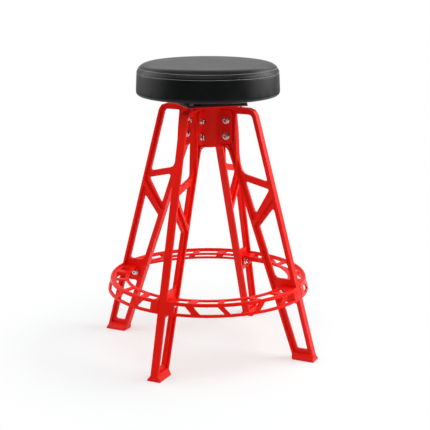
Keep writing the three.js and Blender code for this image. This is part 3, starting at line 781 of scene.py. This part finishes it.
def crown_height(radius):
    """Height of the seat's top at a radius: a slight crown that rolls over towards the upper seam."""
    share = radius / BAND_RADIUS
    roll = SEAT_TOP - UPPER_SEAM - CROWN_DROP
    return SEAT_TOP - CROWN_DROP * share**2 - roll * share**ROLL_POWER


def cover_profile(inset=0.0, seam_depth=0.8 * MM):
    """Outside of the cover from the flap's inner edge, round the bottom edge and up to the crown.

    An inset gives a shape that far inside it, such as the foam's.
    """
    half = 1.4 * MM  # of a seam's groove
    centre = SEAT_RADIUS - CORNER_ROUND
    corner = CORNER_ROUND - inset
    points = [(FLAP_REACH, SEAT_BASE + inset)]
    for step in range(9):
        angle = -TURN / 4 + TURN / 4 * step / 8
        points.append(
            (centre + corner * math.cos(angle), EDGE_BASE + CORNER_ROUND + corner * math.sin(angle))
        )
    points += [
        (SEAM_RADIUS - inset, LOWER_SEAM - half),
        (SEAM_RADIUS - inset - seam_depth, LOWER_SEAM),
        (SEAM_RADIUS - inset, LOWER_SEAM + half),
        ((SEAM_RADIUS + BAND_RADIUS) / 2 + 1.2 * MM - inset, (LOWER_SEAM + UPPER_SEAM) / 2),
        (BAND_RADIUS - inset, UPPER_SEAM - half),
        (BAND_RADIUS - inset - seam_depth, UPPER_SEAM),
    ]
    for step in range(4, 28):
        share = math.cos(TURN / 4 * step / 28)
        points.append((BAND_RADIUS * share - inset / 2, crown_height(BAND_RADIUS * share) - inset))
    return [*points, (0.0, SEAT_TOP - inset)]


class STOOL_OT_cushion(bpy.types.Operator):
    """Models the stuffed vinyl cover, its foam, its seams and its plywood board"""

    bl_idname = "stool.cushion"
    bl_label = "Padded seat"

    def execute(self, context):
        settings = context.scene.stool_seat
        self.cover(context, settings)
        self.foam()
        dress_node("seat_board", birch_plywood(), 0.8 * MM)
        thread = sewing_thread(settings)
        self.stitches("seam_stitches_lower", SEAM_RADIUS - 0.55 * MM, LOWER_SEAM, 0.12, settings, thread)
        self.stitches("seam_stitches_upper", BAND_RADIUS - 0.55 * MM, UPPER_SEAM, 0.6, settings, thread)
        return {"FINISHED"}

    def cover(self, context, settings):
        """Spins the cover, lets it swell between its pinned seams and gives it its thickness."""
        bm = spun(cover_profile(), settings.segments)
        long_edges = [edge for edge in bm.edges if abs(edge.verts[0].co.z - edge.verts[1].co.z) > COARSE]
        bmesh.ops.subdivide_edges(bm, edges=long_edges, cuts=7, use_grid_fill=True)
        flap_edges = [
            edge
            for edge in bm.edges
            if edge.calc_length() > COARSE and max(vert.co.z for vert in edge.verts) < SEAT_BASE + TINY
        ]
        bmesh.ops.subdivide_edges(bm, edges=flap_edges, cuts=3, use_grid_fill=True)
        pucker(bm)
        ripple(bm)
        cover = finish_piece(bm, "seat_cover_vinyl", vinyl_cloth(settings), "seat", smooth=60.0)
        swell(context.scene, cover, settings.puff)
        gather_flap(cover)
        wall = cover.modifiers.new("cloth thickness", "SOLIDIFY")
        wall.thickness = 1.3 * MM
        wall.offset = -1.0
        smooth = cover.modifiers.new("smooth cloth", "SUBSURF")
        smooth.levels = 1
        smooth.render_levels = 1
        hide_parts("seat_cover")

    def foam(self):
        """Foam block that fills the cover above the board."""
        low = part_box("seat_foam")[0].z
        inset, corner = 3.2 * MM, 4 * MM
        rim = [point for point in cover_profile(inset, 0.0) if point[1] > low + inset]
        reach = rim[0][0]
        bm = spun([(0.0, low), (reach - corner, low), (reach, low + corner), *rim], 96)
        foam = finish_piece(bm, "seat_foam_cut", seat_foam_block(), "seat")
        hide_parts("seat_foam")

    def stitches(self, name, radius, height, lean, settings, thread):
        """Row of short stitches round a seam, each a small bead of thread that dips in at its ends."""
        count = round(TURN * radius / settings.stitch)
        half = settings.thread / 2
        bm = bmesh.new()
        for i in range(count):
            angle = TURN * i / count
            out, up = needle_pull(radius * math.cos(angle), radius * math.sin(angle), height)
            spot = Matrix.Rotation(angle, 4, "Z") @ Matrix.Translation((radius + out, 0, height + up))
            shape = Matrix.Diagonal((1.0, settings.stitch * 0.42 / half, 1.0, 1.0))
            tilt = Matrix.Rotation(-lean, 4, "Y")
            bmesh.ops.create_uvsphere(bm, u_segments=8, v_segments=5, radius=half, matrix=spot @ tilt @ shape)
        finish_piece(bm, name, thread, "seat", smooth=80.0)


def needle_pull(x, y, seam):
    """How far the needle draws a seam's point outwards and upwards."""
    out = noise.noise(Vector((x, y, seam)) / (9 * MM)) * 0.35 * MM
    return out, noise.noise(Vector((y, x, seam)) / (30 * MM)) * 0.5 * MM


def pucker(bm):
    """Deepens and lifts the seams unevenly, as the needle draws them in."""
    for vert in bm.verts:
        for seam in (LOWER_SEAM, UPPER_SEAM):
            near = 1 - abs(vert.co.z - seam) / (3 * MM)
            radius = math.hypot(vert.co.x, vert.co.y)
            if near > 0 and radius > BAND_RADIUS * 0.97:
                out, up = needle_pull(vert.co.x, vert.co.y, seam)
                pull = vert.co.xy.normalized() * (out * near)
                vert.co.x += pull.x
                vert.co.y += pull.y
                vert.co.z += up * near


def ripple(bm):
    """Draws the cover in unevenly along the bottom edge, where it is stretched round the board."""
    for vert in bm.verts:
        rise = (vert.co.z - EDGE_BASE) / (26 * MM)
        if rise < 1 and math.hypot(vert.co.x, vert.co.y) > SEAT_RADIUS - CORNER_ROUND:
            fade = math.sin(math.pi * max(0.0, min(1.0, rise))) * (1 - rise)
            wave = noise.noise(Vector((vert.co.x, vert.co.y, vert.co.z * 0.3)) / (16 * MM))
            pull = vert.co.xy.normalized() * (min(0.0, wave - 0.1) * fade * 2.0 * MM)
            vert.co.x += pull.x
            vert.co.y += pull.y


def held_share(co):
    """How firmly a point of the cover is held: 1 at the seams and under the board, 0 in the open cloth."""
    radius = math.hypot(co.x, co.y)
    if co.z < SEAT_BASE + 3 * MM:
        return 1.0
    if radius < BAND_RADIUS * 0.95:
        return 0.0
    nearest = min(abs(co.z - LOWER_SEAM), abs(co.z - UPPER_SEAM))
    return 1.0 if nearest < SEAM_HOLD else 0.0


def swell(scene, piece, limit):
    """Blows the cover up under a light pressure with its seams held, and caps how far a point moves."""
    group = piece.vertex_groups.new(name="held")
    for vert in piece.data.vertices:
        share = held_share(vert.co)
        if share > 0:
            group.add([vert.index], share, "REPLACE")
    cloth = piece.modifiers.new("stuffing", "CLOTH")
    cloth.settings.quality = 6
    cloth.settings.mass = 0.3
    cloth.settings.tension_stiffness = 40
    cloth.settings.compression_stiffness = 40
    cloth.settings.shear_stiffness = 20
    cloth.settings.bending_stiffness = 2
    cloth.settings.vertex_group_mass = "held"
    cloth.settings.use_pressure = True
    cloth.settings.uniform_pressure_force = 4
    cloth.settings.effector_weights.gravity = 0
    cloth.point_cache.frame_start = 1
    cloth.point_cache.frame_end = SETTLE_FRAMES
    for number in range(1, SETTLE_FRAMES + 1):
        scene.frame_set(number)
    settled = piece.evaluated_get(bpy.context.evaluated_depsgraph_get()).data
    pushes = []
    for vert, moved in zip(piece.data.vertices, settled.vertices):
        push = moved.co - vert.co
        pushes.append(push * min(1.0, limit / max(push.length, TINY)))
    for vert, push in zip(piece.data.vertices, evened(piece.data, pushes)):
        vert.co += push
    piece.modifiers.remove(cloth)
    piece.vertex_groups.remove(group)
    scene.frame_set(1)
    piece.data.update()


def evened(mesh, pushes, rounds=60):
    """Evens out how far the points of a mesh move, so that the cloth has no dents; held points stay."""
    freedom = [1 - held_share(vert.co) for vert in mesh.vertices]
    for _ in range(rounds):
        sums = [push.copy() for push in pushes]
        counts = [1] * len(pushes)
        for edge in mesh.edges:
            one, other = edge.vertices
            sums[one] += pushes[other]
            sums[other] += pushes[one]
            counts[one] += 1
            counts[other] += 1
        pushes = [total / count * free for total, count, free in zip(sums, counts, freedom)]
    return pushes


def gather_flap(piece):
    """Folds the flap under the board into the small pleats that a round cover is stapled down in."""
    half_pleats = 24
    depth = 0.9 * MM
    for vert in piece.data.vertices:
        radius = math.hypot(vert.co.x, vert.co.y)
        inwards = SEAT_RADIUS - CORNER_ROUND - radius
        if vert.co.z > SEAT_BASE + 1.5 * MM or inwards < 0:
            continue
        angle = math.atan2(vert.co.y, vert.co.x)
        fade = min(1.0, inwards / (10 * MM))
        crease = abs(math.sin(angle * half_pleats + 2 * noise.noise(Vector((angle * 3, 0.0, 1.0)))))
        vert.co.z -= fade * depth * crease**4
    piece.data.update()


# ---- Stage


class StageSettings(bpy.types.PropertyGroup):
    """Camera, lamps, floor and background."""

    floor_colour: FloatVectorProperty(
        name="Floor colour",
        description="Colour of the studio floor",
        subtype="COLOR",
        size=3,
        min=0.0,
        max=1.0,
        default=linear("#EFF5F5"),
    )
    lens: FloatProperty(
        name="Lens",
        description="Focal length on a 36 mm sensor, in millimetres",
        min=20.0,
        max=300.0,
        default=95.837,
    )
    right_lamp: FloatProperty(
        name="Right lamp",
        description="Power of the softbox on the right",
        unit="POWER",
        min=0.0,
        default=50.0,
    )
    left_lamp: FloatProperty(
        name="Left lamp",
        description="Power of the softbox on the left",
        unit="POWER",
        min=0.0,
        default=25.0,
    )
    top_lamp: FloatProperty(
        name="Top lamp",
        description="Power of the softbox behind the seat",
        unit="POWER",
        min=0.0,
        default=7.0,
    )
    front_lamp: FloatProperty(
        name="Front lamp",
        description="Power of the softbox above the front",
        unit="POWER",
        min=0.0,
        default=32.0,
    )
    ambient: FloatProperty(
        name="Ambient",
        description="Light from the white room on matt surfaces",
        min=0.0,
        max=2.0,
        default=0.18,
    )
    gloss: FloatProperty(
        name="Gloss",
        description="Brightness of the backdrop that glossy surfaces show",
        min=0.0,
        max=2.0,
        default=0.56,
    )
    near_floor: FloatProperty(
        name="Near floor",
        description="Distance from the swivel axis to where the floor begins to fade into white",
        unit="LENGTH",
        min=0.1,
        max=3.0,
        default=0.32,
    )
    floor_glow: FloatProperty(
        name="Floor glow",
        description="How much of the floor under the stool is plain white, which weakens the shadow",
        subtype="FACTOR",
        min=0.0,
        max=1.0,
        default=0.4,
    )


# the photograph's camera, found from the feet, the windows and the foot ring
PHOTO_AZIMUTH = math.radians(25.682)
PHOTO_DROP = math.radians(13.878)
PHOTO_SPOT = (1.2886, -2.6379, 1.0827)
SENSOR_WIDTH = 36.0
FLOOR_RADIUS = 6.0
FADE_SHARE = 2.2  # the floor is white from this many times the distance where it begins to fade


class STOOL_OT_stage(bpy.types.Operator):
    """Builds the camera, the soft lamps, the pale floor and the white background"""

    bl_idname = "stool.stage"
    bl_label = "Studio"

    def execute(self, context):
        settings = context.scene.stool_stage
        scene = context.scene
        scene.view_settings.view_transform = "Standard"
        self.camera(scene, settings)
        self.lamp("softbox_right", (1.9, 0.2, 1.35), (0, 0, 0.3), (2.2, 1.7), settings.right_lamp)
        self.lamp("softbox_left", (-1.9, 0.4, 1.35), (0, 0, 0.3), (2.2, 1.7), settings.left_lamp)
        self.lamp("softbox_top", (0.25, 1.6, 1.8), (0, 0.05, 0.76), (2.4, 0.7), settings.top_lamp)
        self.lamp("softbox_front", (-0.3, -1.3, 2.5), (0, 0, 0.1), (3.0, 2.2), settings.front_lamp)
        self.floor(settings)
        self.background(scene, settings)
        return {"FINISHED"}

    def camera(self, scene, settings):
        """Camera at the photograph's viewpoint."""
        data = bpy.data.cameras.new("photo_camera")
        data.lens = settings.lens
        data.sensor_width = SENSOR_WIDTH
        camera = bpy.data.objects.new("photo_camera", data)
        camera.location = PHOTO_SPOT
        camera.rotation_euler = (TURN / 4 - PHOTO_DROP, 0.0, PHOTO_AZIMUTH)
        scene.collection.objects.link(camera)
        scene.camera = camera

    def lamp(self, name, spot, target, size, power):
        """Rectangular softbox; its spot is given to the right of, behind and above the stool in the photo."""
        data = bpy.data.lights.new(name, "AREA")
        data.shape = "RECTANGLE"
        data.size, data.size_y = size
        data.energy = power
        lamp = bpy.data.objects.new(name, data)
        turn = Matrix.Rotation(PHOTO_AZIMUTH, 3, "Z")
        lamp.location = turn @ Vector(spot)
        lamp.rotation_euler = (turn @ Vector(target) - lamp.location).to_track_quat("-Z", "Y").to_euler()
        bpy.context.scene.collection.objects.link(lamp)

    def floor(self, settings):
        """Pale paper floor that keeps the stool's shadow and fades into the white background."""
        material, tree, place = start_material("pale_paper_floor")
        colour = tuple(settings.floor_colour)
        fibre = speckle(tree, place, 3 * MM, detail=3.0)
        paper = add_node(
            tree,
            "ShaderNodeBsdfPrincipled",
            values={"Roughness": 0.9, "Specular IOR Level": 0.2},
            links={"Base Color": blended(tree, fibre, shade(colour, 0.99), shade(colour, 1.0))},
        )
        seen = add_node(tree, "ShaderNodeLightPath").outputs["Is Camera Ray"]
        away = add_node(tree, "ShaderNodeVectorMath", settings={"operation": "LENGTH"}, links={0: place})
        fade = add_node(
            tree,
            "ShaderNodeMapRange",
            settings={"interpolation_type": "SMOOTHSTEP"},
            values={
                "From Min": settings.near_floor,
                "From Max": settings.near_floor * FADE_SHARE,
                "To Min": settings.floor_glow,
            },
            links={"Value": away.outputs["Value"]},
        ).outputs[0]
        share = add_node(
            tree, "ShaderNodeMath", settings={"operation": "MULTIPLY"}, links={0: seen, 1: fade}
        ).outputs[0]
        white = add_node(tree, "ShaderNodeEmission", values={"Color": (1.0, 1.0, 1.0, 1.0), "Strength": 1.0})
        both = add_node(
            tree, "ShaderNodeMixShader", links={0: share, 1: paper.outputs[0], 2: white.outputs[0]}
        )
        add_node(tree, "ShaderNodeOutputMaterial", links={"Surface": both.outputs[0]})
        bm = bmesh.new()
        bmesh.ops.create_circle(bm, cap_ends=True, segments=64, radius=FLOOR_RADIUS)
        mesh = bpy.data.meshes.new("studio_floor")
        bm.to_mesh(mesh)
        bm.free()
        mesh.materials.append(material)
        floor = bpy.data.objects.new("studio_floor", mesh)
        bpy.context.scene.collection.objects.link(floor)

    def background(self, scene, settings):
        """White room: white to the camera, and to gloss a pale backdrop with a dark front."""
        world = bpy.data.worlds.new("white_room")
        world.use_nodes = True
        tree = world.node_tree
        tree.nodes.clear()
        path = add_node(tree, "ShaderNodeLightPath").outputs
        way = add_node(tree, "ShaderNodeTexCoord").outputs["Generated"]
        to_camera = (math.sin(PHOTO_AZIMUTH), -math.cos(PHOTO_AZIMUTH), 0.0)
        facing = add_node(
            tree,
            "ShaderNodeVectorMath",
            settings={"operation": "DOT_PRODUCT"},
            values={1: to_camera},
            links={0: way},
        ).outputs["Value"]
        room = spread(tree, facing, settings.gloss, 0.04, -0.15, 0.45)
        soft = add_node(tree, "ShaderNodeBackground", values={"Strength": settings.ambient})
        seen = add_node(tree, "ShaderNodeBackground", values={"Strength": 1.0})
        mirrored = add_node(tree, "ShaderNodeBackground", links={"Strength": room})
        for node in (soft, seen, mirrored):
            node.inputs["Color"].default_value = (1.0, 1.0, 1.0, 1.0)
        either = add_node(
            tree,
            "ShaderNodeMath",
            settings={"operation": "MAXIMUM"},
            links={0: path["Is Glossy Ray"], 1: path["Is Transmission Ray"]},
        ).outputs[0]
        gloss = add_node(
            tree, "ShaderNodeMixShader", links={0: either, 1: soft.outputs[0], 2: mirrored.outputs[0]}
        )
        final = add_node(
            tree,
            "ShaderNodeMixShader",
            links={0: path["Is Camera Ray"], 1: gloss.outputs[0], 2: seen.outputs[0]},
        )
        add_node(tree, "ShaderNodeOutputWorld", links={"Surface": final.outputs[0]})
        scene.world = world


# ---- Add-on


class STOOL_PT_panel(bpy.types.Panel):
    """Lists the stool's pieces and their settings"""

    bl_label = "Swivel Bar Stool"
    bl_idname = "STOOL_PT_panel"
    bl_space_type = "VIEW_3D"
    bl_region_type = "UI"
    bl_category = "Stool"

    def draw(self, context):
        for operator, holder in STEPS:
            box = self.layout.box()
            box.operator(operator.bl_idname)
            settings = getattr(context.scene, holder)
            for name in settings.__annotations__:
                box.prop(settings, name)


STEPS = (
    (STOOL_OT_stage, "stool_stage"),
    (STOOL_OT_castings, "stool_castings"),
    (STOOL_OT_bolts, "stool_bolts"),
    (STOOL_OT_swivel, "stool_swivel"),
    (STOOL_OT_cushion, "stool_seat"),
)
SETTINGS = {
    "stool_stage": StageSettings,
    "stool_castings": CastingSettings,
    "stool_bolts": BoltSettings,
    "stool_swivel": SwivelSettings,
    "stool_seat": SeatSettings,
}


def register():
    """Registers the settings, the operators and the panel."""
    for name, group in SETTINGS.items():
        bpy.utils.register_class(group)
        setattr(bpy.types.Scene, name, PointerProperty(type=group))
    for operator, _ in STEPS:
        bpy.utils.register_class(operator)
    bpy.utils.register_class(STOOL_PT_panel)


def unregister():
    """Takes away what register added."""
    bpy.utils.unregister_class(STOOL_PT_panel)
    for operator, _ in reversed(STEPS):
        bpy.utils.unregister_class(operator)
    for name, group in reversed(SETTINGS.items()):
        delattr(bpy.types.Scene, name)
        bpy.utils.unregister_class(group)


def main():
    """Makes the whole stool and its studio."""
    register()
    for operator, _ in STEPS:
        group, name = operator.bl_idname.split(".")
        getattr(getattr(bpy.ops, group), name)()


if __name__ == "__main__":
    main()
